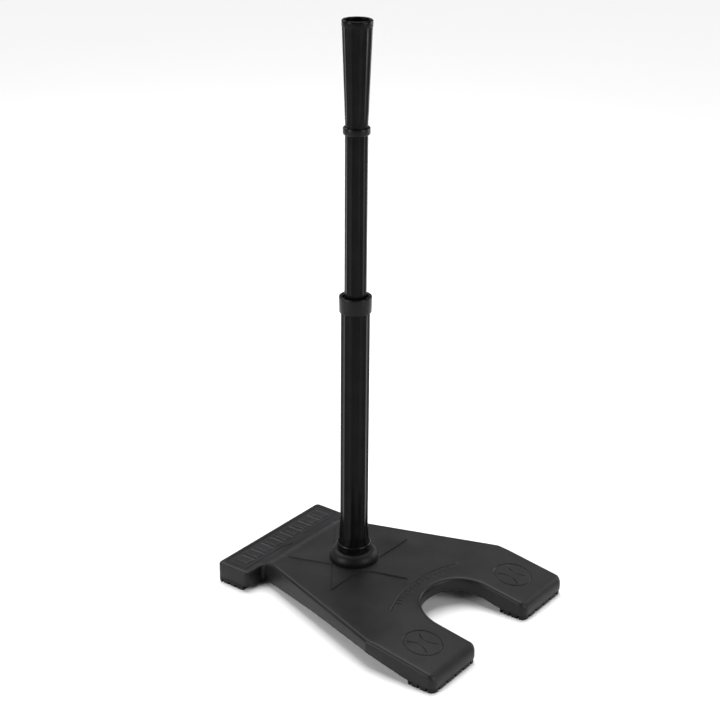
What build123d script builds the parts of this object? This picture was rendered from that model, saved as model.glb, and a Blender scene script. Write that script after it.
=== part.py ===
"""Telescoping rubber batting tee: a heavy arched base, a two-tube stem and a flexible ball cup.

Millimetres. +Z is up and the floor is z = 0. The leg tips point towards -Y and the rear bar lies
towards +Y. The pieces are drawn about the stem's axis, then moved together so that the origin is
the middle of the footprint. Each piece is written to parts/ as its own STEP file.
"""
from build123d import *
from math import cos, radians, sin, tan
import os

# ---- base: plan sizes, measured from the stem's axis ------------------------------------------
REAR_REACH = 202.0          # stem axis to the rear face of the bar
FRONT_REACH = 320.0         # stem axis to the leg tips
BAR_DEPTH = 71.5            # rear bar, front to back
BAR_HALF = 146.5            # rear bar, half its length
NECK_HALF = 100.5           # half the width where the body leaves the bar
WING_HALF = 206.0           # half the width across the wings and the legs
WING_Y = -181.5             # where the flare ends and the legs run straight
NOTCH_HALF = 75.5           # half the width of the notch between the legs
NOTCH_BACK = -168.0         # back wall of the notch
NOTCH_CORNER_R = NOTCH_HALF - 3.5   # the notch is nearly a half circle at the back
BAR_CORNER_R = 9.0
NECK_CORNER_R = 7.0
WING_CORNER_R = 8.0
LEG_CORNER_R = 13.0

# ---- base: heights -----------------------------------------------------------------------------
TREAD_T = 9.0               # thickness of the tread pads under the bar and the leg tips
BAR_TOP = 38.5              # top of the rear bar
DECK_TOP = 51.2             # flat deck around the stem
LEG_BREAK_Y = -190.0        # where the legs begin to slope down
LEG_SLOPE = 8.25            # degrees
BAR_FRONT_Y = REAR_REACH - BAR_DEPTH
RAMP_FOOT_Y = BAR_FRONT_Y + 0.5     # the deck rises from the bar between these two
RAMP_HEAD_Y = RAMP_FOOT_Y - 26.0
RAMP_FOOT_R = 30.0
RAMP_HEAD_R = 60.0
LEG_BREAK_R = 250.0
TOE_SHARE = 0.78            # rounding over the leg's front, as a share of its height there
TOE_CUT = 1.5               # the leg tip is cut off this far before that rounding stands upright
ARCH_REAR_Y = BAR_FRONT_Y - 12.5    # the underside leaves the bar here
ARCH_MID_Y = -23.0
ARCH_MID_Z = 22.0
ARCH_CREST_Y = -178.0
ARCH_CREST_Z = 28.5
LEG_FOOT_LEN = 58.0         # flat foot of each leg, back from the tip
ARCH_FRONT_Y = LEG_FOOT_LEN - FRONT_REACH
ARCH_REAR_R = 60.0
ARCH_MID_R = 900.0
ARCH_CREST_R = 45.0
ARCH_FRONT_R = 8.0
EDGE_R = 3.0                # rounding along the top edges

# ---- tread pads --------------------------------------------------------------------------------
TREAD_INSET = 1.5           # the leg pads stand in from the leg's outline
REAR_TREAD_FRONT_Y = BAR_FRONT_Y + 11.0
REAR_TREAD_BEVEL = 9.0
LEG_SLOT_DEPTH = TREAD_T - 2.0
REAR_SLOT_DEPTH = TREAD_T - 3.5
SLOT_W = 4.5
SLOT_PITCH_Y = 16.0
SLOT_PITCH_X = 23.5
LEG_SLOTS_X = 5
LEG_SLOTS_Y = 3
LEG_FIRST_SLOT = 15.0       # leg tip to the first cross slot
REAR_SLOTS_X = 12
REAR_SLOTS_Y = 3
REAR_FIRST_SLOT = 13.0      # rear face to the first cross slot

# ---- raised and sunk marks on the base ---------------------------------------------------------
STAR_POINTS = 5
STAR_R = 121.5              # circumradius of the star
STAR_RATIO = 0.382          # inner radius over outer radius of a regular star
STAR_H = 2.8
STAR_DRAFT = 1.2            # how far the walls lean out over their height
GROOVE_W = 1.4
GROOVE_DEPTH = 0.9
PANEL_MARGIN_REAR = 10.0
PANEL_MARGIN_FRONT = 13.5
PANEL_HALF = 134.0
PANEL_CORNER_R = 5.0
PANEL_GAP = (-15.0, 32.0)   # the front line of the panel is broken between these
BLOCK_COUNT = 9             # raised blocks in the panel
BLOCK_W = 17.0
BLOCK_LEN = 27.0
BLOCK_PITCH = 27.5
BLOCK_CORNER_R = 2.0
BLOCK_RELIEF = 0.8
ARC_R = 239.0               # groove between the star and the notch
ARC_TOP_Y = -135.5
ARC_HALF_ANGLE = 24.5
TICK_COUNT = 15             # radial bars inside that groove
TICK_W = 2.2
TICK_LEN = 8.0
TICK_GAP = 4.0
TICK_END_ANGLE = 5.0        # the ticks stop this far short of the arc's ends
MEDAL_X = 141.0             # round mark on each leg
MEDAL_Y = 67.5 - FRONT_REACH
MEDAL_R = 33.0
SEAM_R = 26.0               # two curved seams inside it, as on a ball
SEAM_OFFSET = 34.0
SEAM_MARGIN = 4.0           # and stop this far inside the round groove

# ---- stem boot and anchor ----------------------------------------------------------------------
BOOT_TOP_Z = 74.0
BOOT_ROUND_R = 13.0         # quarter round over the boot
BOOT_FOOT_R = 1.5           # undercut edge where it meets the star
SOCKET_FLOOR_Z = 36.0
FIT = 0.05                  # running fit, on the radius
GLUE_GAP = 0.1              # between pieces that are bonded or pressed together
END_GAP = 0.3               # between pieces that move past each other
FOOT_RING_WALL = 3.2
FOOT_RING_H = 14.0
FOOT_RING_EDGE_R = 1.2
FOOT_LIP_H = 3.0            # the top of the ring draws in to a lip
FOOT_LIP_IN = 1.0
PLUG_FLOOR_T = 22.0         # solid foot of the plug
PLUG_CUP_H = 58.0           # hollow upper part, which the lower tube is stretched over
PLUG_CUP_WALL = 1.6
BOLT_R = 4.0
BOLT_CLEAR_R = BOLT_R + 0.4
BOLT_HEAD_AF = 13.0
BOLT_HEAD_H = 5.5
BOLT_LEN = 31.0
NUT_AF = 13.0
NUT_H = 6.5
NUT_SEAT_DEPTH = 8.1        # nut seat below the floor of the plug's cup
WASHER_R = 19.0
WASHER_T = 2.0
RECESS_R = 21.0
RECESS_CEILING_Z = SOCKET_FLOOR_Z - 7.0

# ---- stem --------------------------------------------------------------------------------------
STEM_TOP_Z = 1028.0         # rim of the ball cup, at the height shown
UPPER_R = 19.05             # 1.5 in tube
UPPER_WALL = 5.05
TUBE_GAP = 1.85             # between the upper tube and the bore of the lower one
LOWER_WALL = 4.5
LOWER_R = UPPER_R + TUBE_GAP + LOWER_WALL      # comes to a 2 in tube
LOWER_SHARE = 0.537         # top of the lower tube, as a share of the stem's height
LOWER_TOP_Z = LOWER_SHARE * STEM_TOP_Z
FLARE_R = LOWER_R + 1.9     # the lower tube swells where it is stretched over its plug
FLARE_FOOT_Z = 92.0
FLARE_HEAD_Z = 132.0
PLUG_CLEARANCE = 3.6        # upper tube to plug at the lowest height
FLUTES = 12
FLUTE_DEPTH = 0.035         # share of the tube's radius
ARRIS_HALF = 2.5            # half the angle left round between two flutes, degrees
LOWER_FLUTE_TURN = -6.1     # first arris of each tube about +Z, degrees
UPPER_FLUTE_TURN = -15.6

# ---- collar, grip bush and guide ring ----------------------------------------------------------
COLLAR_RISE = 9.2           # collar's top above the lower tube
COLLAR_H = 28.5
COLLAR_TOP_R = LOWER_R + 3.0
COLLAR_BOTTOM_R = LOWER_R + 2.4
COLLAR_MOUTH_R = UPPER_R + 3.25
COLLAR_EDGE_R = 2.2
COLLAR_FOOT_EDGE_R = 1.0
BUSH_FLANGE_T = 2.0
BUSH_LEN = 75.0             # sleeve below the flange
GUIDE_R = UPPER_R - 1.65    # bottom of the guide ring's groove in the upper tube
GUIDE_GROOVE_RISE = 6.0     # groove above the tube's lower end
GUIDE_GROOVE_H = 15.0

# ---- stop ring and ball cup --------------------------------------------------------------------
CUP_LEN = 186.5             # rim down to the underside of the stop ring
RING_H = 12.8
RING_R = UPPER_R + 3.65
RING_EDGE_R = 2.6
CUP_RIM_R = 25.5
CUP_BAND_H = 11.0
CUP_BAND_PROUD = 0.6
CUP_NECK_R = UPPER_R + 0.15
CUP_TAPER_LEN = 164.5       # rim down to the neck
CUP_MOUTH_R = CUP_RIM_R - 4.5
CUP_MOUTH_H = 14.0
CUP_THROAT_R = UPPER_R - 5.0
CUP_THROAT_RISE = 8.5
CUP_RIM_EDGE_R = 2.0
SPIGOT_LEN = 25.0
SPIGOT_WALL = 3.9

# ---- sizes that follow from the ones above -----------------------------------------------------
STEM_SHIFT = (FRONT_REACH - REAR_REACH) / 2
LEG_MID_X = (NOTCH_HALF + WING_HALF) / 2
LOWER_BORE_R = LOWER_R - LOWER_WALL
UPPER_BORE_R = UPPER_R - UPPER_WALL
SPIGOT_BORE_R = UPPER_BORE_R - GLUE_GAP - SPIGOT_WALL
FOOT_BORE_R = FLARE_R + GLUE_GAP
FOOT_RING_R = FOOT_BORE_R + FOOT_RING_WALL
BOOT_R = FOOT_RING_R + 0.4 + BOOT_ROUND_R
STAR_TOP_Z = DECK_TOP + STAR_H
PLUG_BOTTOM_Z = SOCKET_FLOOR_Z + GLUE_GAP
PLUG_FLOOR_Z = PLUG_BOTTOM_Z + PLUG_FLOOR_T
PLUG_TOP_Z = PLUG_FLOOR_Z + PLUG_CUP_H
NUT_SEAT_Z = PLUG_FLOOR_Z - NUT_SEAT_DEPTH
BUSH_TOP_Z = LOWER_TOP_Z + BUSH_FLANGE_T
COLLAR_TOP_Z = LOWER_TOP_Z + COLLAR_RISE
COLLAR_BOTTOM_Z = COLLAR_TOP_Z - COLLAR_H
RING_BOTTOM_Z = STEM_TOP_Z - CUP_LEN
SEAM_Z = RING_BOTTOM_Z + RING_H / 2            # upper tube meets cup inside the stop ring
CUP_NECK_Z = STEM_TOP_Z - CUP_TAPER_LEN
STROKE_DOWN = RING_BOTTOM_Z - COLLAR_TOP_Z     # the ring lands on the collar
UPPER_BOTTOM_Z = PLUG_FLOOR_Z + PLUG_CLEARANCE + STROKE_DOWN
GUIDE_GROOVE_Z = UPPER_BOTTOM_Z + GUIDE_GROOVE_RISE
PAST = 1.0                                     # cutters run this far past the face they open


# ---- small helpers -----------------------------------------------------------------------------
def disc(radius, bottom, top):
    """Upright cylinder about the stem's axis."""
    return Pos(0, 0, bottom) * Cylinder(radius, top - bottom, align=(Align.CENTER, Align.CENTER, Align.MIN))


def tube(outer, inner, bottom, top):
    """Upright tube about the stem's axis; its bore runs right through."""
    return disc(outer, bottom, top) - disc(inner, bottom - PAST, top + PAST)


def block(x0, x1, y0, y1, z0, z1):
    """Box between two corners."""
    box = Box(x1 - x0, y1 - y0, z1 - z0)
    return Pos((x0 + x1) / 2, (y0 + y1) / 2, (z0 + z1) / 2) * box


def hexagon(across_flats, bottom, top):
    """Upright hexagonal prism about the stem's axis."""
    face = RegularPolygon(across_flats / 2, 6, major_radius=False)
    return Pos(0, 0, bottom) * extrude(face, top - bottom)


def spun(points, radii):
    """Solid of revolution from an (r, z) outline whose corners are rounded by the given radii."""
    wire = FilletPolyline(*[(r, 0, z) for r, z in points], radius=radii, close=True)
    return revolve(make_face(wire), Axis.Z, 360)


# ---- base moulding -----------------------------------------------------------------------------
def base_outline():
    """Plan of the base as a flat face: bar, neck, flared wings, two legs and the notch."""
    left = [
        ((-BAR_HALF, REAR_REACH), BAR_CORNER_R),
        ((-BAR_HALF, BAR_FRONT_Y), BAR_CORNER_R),
        ((-NECK_HALF, BAR_FRONT_Y), NECK_CORNER_R),
        ((-WING_HALF, WING_Y), WING_CORNER_R),
        ((-WING_HALF, -FRONT_REACH), LEG_CORNER_R),
        ((-NOTCH_HALF, -FRONT_REACH), LEG_CORNER_R),
        ((-NOTCH_HALF, NOTCH_BACK), NOTCH_CORNER_R),
    ]
    right = [((-x, y), r) for (x, y), r in reversed(left)]
    corners = left + right
    wire = FilletPolyline(*[p for p, r in corners], radius=[r for p, r in corners], close=True)
    return make_face(wire)


def side_profile():
    """Side view of the base, drawn in the Y-Z plane: deck and sloping legs above, arch below."""
    past_rear = REAR_REACH + PAST
    past_toe = FRONT_REACH + TOE_CUT
    tip_z = DECK_TOP - (past_toe + LEG_BREAK_Y) * tan(radians(LEG_SLOPE))
    toe_r = TOE_SHARE * (tip_z - TREAD_T)
    corners = [
        ((past_rear, TREAD_T), 0.0),
        ((past_rear, BAR_TOP), 0.0),
        ((RAMP_FOOT_Y, BAR_TOP), RAMP_FOOT_R),
        ((RAMP_HEAD_Y, DECK_TOP), RAMP_HEAD_R),
        ((LEG_BREAK_Y, DECK_TOP), LEG_BREAK_R),
        ((-past_toe, tip_z), toe_r),
        ((-past_toe, TREAD_T), 0.0),
        ((ARCH_FRONT_Y, TREAD_T), ARCH_FRONT_R),
        ((ARCH_CREST_Y, ARCH_CREST_Z), ARCH_CREST_R),
        ((ARCH_MID_Y, ARCH_MID_Z), ARCH_MID_R),
        ((ARCH_REAR_Y, TREAD_T), ARCH_REAR_R),
    ]
    wire = FilletPolyline(*[(0, y, z) for (y, z), r in corners], radius=[r for p, r in corners], close=True)
    return make_face(wire)


def skin(above, below):
    """Thin layer that follows the top of the base, from `below` under it to `above` over it."""
    profile = extrude(side_profile(), WING_HALF + PAST, both=True)
    upper = Pos(0, 0, above) * profile
    lower = Pos(0, 0, -below) * profile
    return upper - lower


def star_prism():
    """Raised five-pointed star around the stem, with walls that lean out towards the deck."""
    def star(radius, z):
        points = []
        for k in range(2 * STAR_POINTS):
            r = radius if k % 2 == 0 else radius * STAR_RATIO
            angle = radians(180 * k / STAR_POINTS - 90)
            points.append((r * cos(angle), r * sin(angle), z))
        return make_face(Polyline(*points, close=True))
    spread = STAR_DRAFT * (STAR_H + PAST) / STAR_H
    top_r = STAR_R - spread / sin(radians(90 / STAR_POINTS))
    return loft([star(STAR_R, DECK_TOP - PAST), star(top_r, STAR_TOP_Z)], ruled=True)


def panel_grooves():
    """Rounded rectangle on the bar's top; its front line is broken in the middle."""
    rear_y = REAR_REACH - PANEL_MARGIN_REAR
    front_y = BAR_FRONT_Y + PANEL_MARGIN_FRONT
    middle = (rear_y + front_y) / 2
    depth = rear_y - front_y
    outer = RectangleRounded(2 * PANEL_HALF + GROOVE_W, depth + GROOVE_W, PANEL_CORNER_R)
    inner = RectangleRounded(2 * PANEL_HALF - GROOVE_W, depth - GROOVE_W, PANEL_CORNER_R - GROOVE_W)
    ring = Pos(0, middle, 0) * extrude(outer - inner, 2 * DECK_TOP)
    half_gap = PANEL_CORNER_R
    gap = block(PANEL_GAP[0], PANEL_GAP[1], front_y - half_gap, front_y + half_gap, 0, 2 * DECK_TOP)
    return ring - gap


def panel_blocks():
    """Plain raised blocks along the panel, standing a little way up from the bar."""
    middle_y = (REAR_REACH - PANEL_MARGIN_REAR + BAR_FRONT_Y + PANEL_MARGIN_FRONT) / 2
    pad = extrude(RectangleRounded(BLOCK_W, BLOCK_LEN, BLOCK_CORNER_R), 2 * BLOCK_RELIEF)
    base_z = BAR_TOP - BLOCK_RELIEF
    offsets = [(k - (BLOCK_COUNT - 1) / 2) * BLOCK_PITCH for k in range(BLOCK_COUNT)]
    return [Pos(x, middle_y, base_z) * pad for x in offsets]


def arc_groove():
    """Long shallow arc between the star and the notch."""
    ring = tube(ARC_R + GROOVE_W / 2, ARC_R - GROOVE_W / 2, 0, 2 * DECK_TOP)
    half_width = ARC_R * sin(radians(ARC_HALF_ANGLE))
    window = block(-half_width, half_width, 0, ARC_R + GROOVE_W, 0, 2 * DECK_TOP)
    return Pos(0, ARC_TOP_Y - ARC_R, 0) * (ring & window)


def arc_ticks():
    """Row of short radial bars that follows the arc on the notch side."""
    far = ARC_R - TICK_GAP
    bar = block(-TICK_W / 2, TICK_W / 2, far - TICK_LEN, far, 0, 2 * DECK_TOP)
    step = 2 * (ARC_HALF_ANGLE - TICK_END_ANGLE) / (TICK_COUNT - 1)
    turns = [(k - (TICK_COUNT - 1) / 2) * step for k in range(TICK_COUNT)]
    return [Pos(0, ARC_TOP_Y - ARC_R, 0) * Rot(0, 0, turn) * bar for turn in turns]


def medallion(side):
    """Round groove on one leg, with two curved seams inside it."""
    rim = tube(MEDAL_R + GROOVE_W / 2, MEDAL_R - GROOVE_W / 2, 0, 2 * DECK_TOP)
    seam_ring = tube(SEAM_R + GROOVE_W / 2, SEAM_R - GROOVE_W / 2, 0, 2 * DECK_TOP)
    inside = disc(MEDAL_R - SEAM_MARGIN, 0, 2 * DECK_TOP)
    seams = [(Pos(s * SEAM_OFFSET, 0, 0) * seam_ring) & inside for s in (-1, 1)]
    return [Pos(side * MEDAL_X, MEDAL_Y, 0) * piece for piece in [rim] + seams]


def top_edges(body):
    """Edges where the top of the body meets its side walls."""
    tops = [face for face in body.faces() if face.normal_at().Z > 0.5]
    edges = [edge for face in tops for edge in face.edges()]
    return [edge for edge in edges if sum(edge.is_same(other) for other in edges) == 1]


def base_body():
    """The moulding itself: outline and side view crossed, then the marks, star and socket."""
    profile = extrude(side_profile(), WING_HALF + PAST, both=True)
    body = (extrude(base_outline(), 2 * DECK_TOP) & profile).solids()[0]
    body = body.fillet(EDGE_R, top_edges(body))
    groove_layer = skin(PAST, GROOVE_DEPTH)
    sunk = [panel_grooves(), arc_groove()] + arc_ticks() + medallion(-1) + medallion(1)
    for cutter in sunk:
        body = body - (cutter & groove_layer)
    body = body + star_prism()
    for pad in panel_blocks():
        body = body + pad
    body = body - disc(FOOT_BORE_R, SOCKET_FLOOR_Z, STAR_TOP_Z + PAST)
    body = body - disc(BOLT_CLEAR_R, 0, SOCKET_FLOOR_Z + PAST)
    return body - disc(RECESS_R, 0, RECESS_CEILING_Z)


# ---- tread pads --------------------------------------------------------------------------------
def slots_along_y(centre_x, count, y0, y1, depth):
    """Parallel slots that run front to back."""
    xs = [centre_x + (k - (count - 1) / 2) * SLOT_PITCH_X for k in range(count)]
    return [block(x - SLOT_W / 2, x + SLOT_W / 2, y0 - PAST, y1 + PAST, -PAST, depth) for x in xs]


def slots_along_x(first_y, step, count, x0, x1, depth):
    """Parallel slots that run left to right."""
    ys = [first_y + k * step for k in range(count)]
    return [block(x0 - PAST, x1 + PAST, y - SLOT_W / 2, y + SLOT_W / 2, -PAST, depth) for y in ys]


def leg_tread(side):
    """Studded pad under one leg tip."""
    width = WING_HALF - NOTCH_HALF - 2 * TREAD_INSET
    length = FRONT_REACH + ARCH_FRONT_Y - TREAD_INSET
    x0 = side * LEG_MID_X - width / 2
    y0 = -FRONT_REACH + TREAD_INSET
    pad = extrude(RectangleRounded(width, length, LEG_CORNER_R - TREAD_INSET), TREAD_T)
    pad = Pos(side * LEG_MID_X, y0 + length / 2, 0) * pad
    cuts = slots_along_y(side * LEG_MID_X, LEG_SLOTS_X, y0, y0 + length, LEG_SLOT_DEPTH)
    first = -FRONT_REACH + LEG_FIRST_SLOT
    cuts += slots_along_x(first, SLOT_PITCH_Y, LEG_SLOTS_Y, x0, x0 + width, LEG_SLOT_DEPTH)
    for cut in cuts:
        pad = pad - cut
    return pad


def rear_tread():
    """Studded pad under the bar, bevelled along its rear edge."""
    pad = block(-BAR_HALF, BAR_HALF, REAR_TREAD_FRONT_Y, REAR_REACH, 0, TREAD_T)
    corners = pad.edges().filter_by(Axis.Z).group_by(Axis.Y)[-1]
    pad = fillet(corners, BAR_CORNER_R)
    cuts = slots_along_y(0, REAR_SLOTS_X, REAR_TREAD_FRONT_Y, REAR_REACH, REAR_SLOT_DEPTH)
    first = REAR_REACH - REAR_FIRST_SLOT
    cuts += slots_along_x(first, -SLOT_PITCH_Y, REAR_SLOTS_Y, -BAR_HALF, BAR_HALF, REAR_SLOT_DEPTH)
    wedge_y = REAR_REACH - REAR_TREAD_BEVEL
    far_y = REAR_REACH + PAST
    wedge_points = [(0, wedge_y, -PAST / 2), (0, far_y, -PAST / 2), (0, far_y, TREAD_T)]
    wedge_face = make_face(Polyline(*wedge_points, close=True))
    cuts.append(extrude(wedge_face, BAR_HALF + PAST, both=True))
    for cut in cuts:
        pad = pad - cut
    return pad


# ---- fixed half of the stem --------------------------------------------------------------------
def fluted_face(radius, turn, z=0.0):
    """Round section with twelve shallow flutes that leave narrow arrises between them."""
    half = radians(180 / FLUTES - ARRIS_HALF)
    half_chord = radius * sin(half)
    bottom = radius * (1 - FLUTE_DEPTH)
    rise = radius * cos(half) - bottom
    scoop_r = (half_chord ** 2 + rise ** 2) / (2 * rise)
    face = Circle(radius)
    for k in range(FLUTES):
        angle = turn + (k + 0.5) * 360 / FLUTES
        face = face - Rot(0, 0, angle) * Pos(bottom + scoop_r, 0, 0) * Circle(scoop_r)
    return Pos(0, 0, z) * face


def lower_tube():
    """Fluted outer tube; its foot is stretched over the plug and stands in the base's socket."""
    shaft = extrude(fluted_face(LOWER_R, LOWER_FLUTE_TURN, FLARE_HEAD_Z), LOWER_TOP_Z - FLARE_HEAD_Z)
    foot_face = fluted_face(FLARE_R, LOWER_FLUTE_TURN, FLARE_FOOT_Z).faces()[0]
    head_face = fluted_face(LOWER_R, LOWER_FLUTE_TURN, FLARE_HEAD_Z).faces()[0]
    flare = loft([foot_face, head_face], ruled=True)
    foot = disc(FLARE_R, PLUG_BOTTOM_Z, FLARE_FOOT_Z)
    wall_at_foot = FLARE_R - LOWER_WALL
    bore_outline = [
        (0, PLUG_BOTTOM_Z - PAST),
        (wall_at_foot, PLUG_BOTTOM_Z - PAST),
        (wall_at_foot, PLUG_TOP_Z),
        (LOWER_BORE_R, FLARE_HEAD_Z),
        (LOWER_BORE_R, LOWER_TOP_Z + PAST),
        (0, LOWER_TOP_Z + PAST),
    ]
    return (shaft + flare + foot) - spun(bore_outline, [0] * len(bore_outline))


def stem_boot():
    """Domed rubber boot around the tube's foot; it sits on the star."""
    outline = [
        (FOOT_BORE_R, STAR_TOP_Z),
        (BOOT_R, STAR_TOP_Z),
        (BOOT_R, BOOT_TOP_Z),
        (FOOT_BORE_R, BOOT_TOP_Z),
    ]
    return spun(outline, [0, BOOT_FOOT_R, BOOT_ROUND_R, 0])


def foot_ring():
    """Rubber ring on the boot, with a thin lip drawn in against the tube."""
    top = BOOT_TOP_Z + FOOT_RING_H
    outline = [
        (FOOT_BORE_R, BOOT_TOP_Z),
        (FOOT_RING_R, BOOT_TOP_Z),
        (FOOT_RING_R, top - FOOT_LIP_H),
        (FOOT_RING_R - FOOT_LIP_IN, top),
        (FOOT_BORE_R, top),
    ]
    edge = FOOT_RING_EDGE_R
    return spun(outline, [0, edge, edge, edge, 0])


def anchor_plug():
    """Cup-shaped plug inside the tube's foot; it holds the nut and lets the upper tube pass down."""
    outer = FLARE_R - LOWER_WALL - GLUE_GAP
    inner = outer - PLUG_CUP_WALL
    body = disc(outer, PLUG_BOTTOM_Z, PLUG_TOP_Z) - disc(inner, PLUG_FLOOR_Z, PLUG_TOP_Z + PAST)
    body = body - disc(BOLT_CLEAR_R, PLUG_BOTTOM_Z - PAST, PLUG_FLOOR_Z + PAST)
    return body - hexagon(NUT_AF + 2 * GLUE_GAP, NUT_SEAT_Z, PLUG_FLOOR_Z + PAST)


def anchor_nut():
    """Hexagon nut held in the plug."""
    bottom = NUT_SEAT_Z + GLUE_GAP
    top = bottom + NUT_H
    return hexagon(NUT_AF, bottom, top) - disc(BOLT_R + GLUE_GAP, bottom - PAST, top + PAST)


def anchor_washer():
    """Wide washer in the recess under the base."""
    return tube(WASHER_R, BOLT_CLEAR_R, RECESS_CEILING_Z - WASHER_T, RECESS_CEILING_Z)


def anchor_bolt():
    """Hexagon bolt that pulls the plug down into the base."""
    seat = RECESS_CEILING_Z - WASHER_T
    return disc(BOLT_R, seat, seat + BOLT_LEN) + hexagon(BOLT_HEAD_AF, seat - BOLT_HEAD_H, seat)


def collar():
    """Rubber cap over the top of the lower tube; its mouth stands clear of the upper tube."""
    bore = LOWER_R + GLUE_GAP
    shoulder = BUSH_TOP_Z + GLUE_GAP
    outline = [
        (bore, COLLAR_BOTTOM_Z),
        (COLLAR_BOTTOM_R, COLLAR_BOTTOM_Z),
        (COLLAR_TOP_R, COLLAR_TOP_Z),
        (COLLAR_MOUTH_R, COLLAR_TOP_Z),
        (COLLAR_MOUTH_R, shoulder),
        (bore, shoulder),
    ]
    return spun(outline, [0, COLLAR_FOOT_EDGE_R, COLLAR_EDGE_R, COLLAR_EDGE_R, 0, 0])


def grip_bush():
    """Flanged bush that grips the upper tube; its flange is held under the collar."""
    bore = UPPER_R + FIT
    flange = tube(LOWER_R - GLUE_GAP, bore, LOWER_TOP_Z, BUSH_TOP_Z)
    sleeve = tube(LOWER_BORE_R - GLUE_GAP, bore, LOWER_TOP_Z - BUSH_LEN, LOWER_TOP_Z)
    return flange + sleeve


# ---- moving half of the stem -------------------------------------------------------------------
def guide_ring():
    """Wear ring in a groove near the foot of the upper tube; it slides in the lower tube."""
    bottom = GUIDE_GROOVE_Z + END_GAP
    top = GUIDE_GROOVE_Z + GUIDE_GROOVE_H - END_GAP
    return tube(LOWER_BORE_R - FIT, GUIDE_R + FIT, bottom, top)


def upper_tube():
    """Fluted inner tube."""
    shaft = extrude(fluted_face(UPPER_R, UPPER_FLUTE_TURN, UPPER_BOTTOM_Z), SEAM_Z - UPPER_BOTTOM_Z)
    groove = tube(UPPER_R + PAST, GUIDE_R, GUIDE_GROOVE_Z, GUIDE_GROOVE_Z + GUIDE_GROOVE_H)
    return shaft - groove - disc(UPPER_BORE_R, UPPER_BOTTOM_Z - PAST, SEAM_Z + PAST)


def stop_ring():
    """Thick ring over the joint between tube and cup; it lands on the collar at the lowest height."""
    bore = UPPER_R + GLUE_GAP
    top = RING_BOTTOM_Z + RING_H
    outline = [(bore, RING_BOTTOM_Z), (RING_R, RING_BOTTOM_Z), (RING_R, top), (bore, top)]
    return spun(outline, [0, RING_EDGE_R, RING_EDGE_R, 0])


def ball_cup():
    """Flexible fluted cup: spigot, neck, taper, smooth band and rounded rim."""
    band_z = STEM_TOP_Z - CUP_BAND_H
    top_r = CUP_RIM_R - CUP_BAND_PROUD
    neck_face = fluted_face(CUP_NECK_R, UPPER_FLUTE_TURN, CUP_NECK_Z).faces()[0]
    top_face = fluted_face(top_r, UPPER_FLUTE_TURN, band_z).faces()[0]
    taper = loft([neck_face, top_face], ruled=True)
    neck = disc(UPPER_R, SEAM_Z + GLUE_GAP, CUP_NECK_Z)
    spigot = disc(UPPER_BORE_R - GLUE_GAP, SEAM_Z - SPIGOT_LEN, SEAM_Z + PAST)
    band_outline = [(0, band_z), (CUP_RIM_R, band_z), (CUP_RIM_R, STEM_TOP_Z), (0, STEM_TOP_Z)]
    band = spun(band_outline, [0, CUP_BAND_PROUD, CUP_RIM_EDGE_R, 0])
    mouth_z = STEM_TOP_Z - CUP_MOUTH_H
    hollow_outline = [
        (0, SEAM_Z - SPIGOT_LEN - PAST),
        (SPIGOT_BORE_R, SEAM_Z - SPIGOT_LEN - PAST),
        (SPIGOT_BORE_R, CUP_NECK_Z),
        (CUP_THROAT_R, CUP_NECK_Z + CUP_THROAT_RISE),
        (CUP_MOUTH_R, mouth_z),
        (CUP_MOUTH_R, STEM_TOP_Z + PAST),
        (0, STEM_TOP_Z + PAST),
    ]
    hollow = spun(hollow_outline, [0] * len(hollow_outline))
    body = (spigot + neck + taper + band) - hollow
    rim = [e for e in body.edges().filter_by(GeomType.CIRCLE)
           if abs(e.radius - CUP_MOUTH_R) < 1e-3 and abs(e.center().Z - STEM_TOP_Z) < 1e-3]
    return fillet(rim, CUP_RIM_EDGE_R)


PIECES = {
    "base_body": base_body(),
    "front_left_tread": leg_tread(-1),
    "front_right_tread": leg_tread(1),
    "rear_tread": rear_tread(),
    "stem_boot": stem_boot(),
    "foot_ring": foot_ring(),
    "anchor_plug": anchor_plug(),
    "anchor_nut": anchor_nut(),
    "anchor_washer": anchor_washer(),
    "anchor_bolt": anchor_bolt(),
    "lower_tube": lower_tube(),
    "collar": collar(),
    "grip_bush": grip_bush(),
    "guide_ring": guide_ring(),
    "upper_tube": upper_tube(),
    "stop_ring": stop_ring(),
    "ball_cup": ball_cup(),
}

os.makedirs("parts", exist_ok=True)
for node, piece in PIECES.items():
    placed = Pos(0, STEM_SHIFT, 0) * piece
    export_step(placed, f"parts/{node}.step")
    print(f"{node:18s} {len(placed.solids())} solid, {placed.volume / 1000:9.1f} cm3")
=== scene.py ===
# %% [markdown]
# A rubber batting tee stands on a pale studio floor. It has a heavy arched base with two legs,
# a fluted stem in two tubes, and a flexible cup that holds the ball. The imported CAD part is
# the skeleton. It gives every joint, body and overall size.

# %% Start: tools and the CAD frame
import math
import bpy
import bmesh
import numpy as np
from mathutils import Matrix, Vector
from mathutils.geometry import delaunay_2d_cdt


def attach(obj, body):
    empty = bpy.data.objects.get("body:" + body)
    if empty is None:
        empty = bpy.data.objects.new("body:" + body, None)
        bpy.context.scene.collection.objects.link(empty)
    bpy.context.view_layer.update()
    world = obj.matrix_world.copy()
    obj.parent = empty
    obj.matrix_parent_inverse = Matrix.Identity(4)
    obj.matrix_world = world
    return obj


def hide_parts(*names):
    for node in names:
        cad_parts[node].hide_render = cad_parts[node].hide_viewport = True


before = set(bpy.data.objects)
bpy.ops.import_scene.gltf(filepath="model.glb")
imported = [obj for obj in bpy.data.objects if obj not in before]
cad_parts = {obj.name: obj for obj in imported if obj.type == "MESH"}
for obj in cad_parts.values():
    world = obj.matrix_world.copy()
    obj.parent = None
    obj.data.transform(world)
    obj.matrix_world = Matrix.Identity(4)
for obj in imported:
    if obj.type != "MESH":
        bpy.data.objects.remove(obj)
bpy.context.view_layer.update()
print("CAD nodes:", len(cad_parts))

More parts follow.
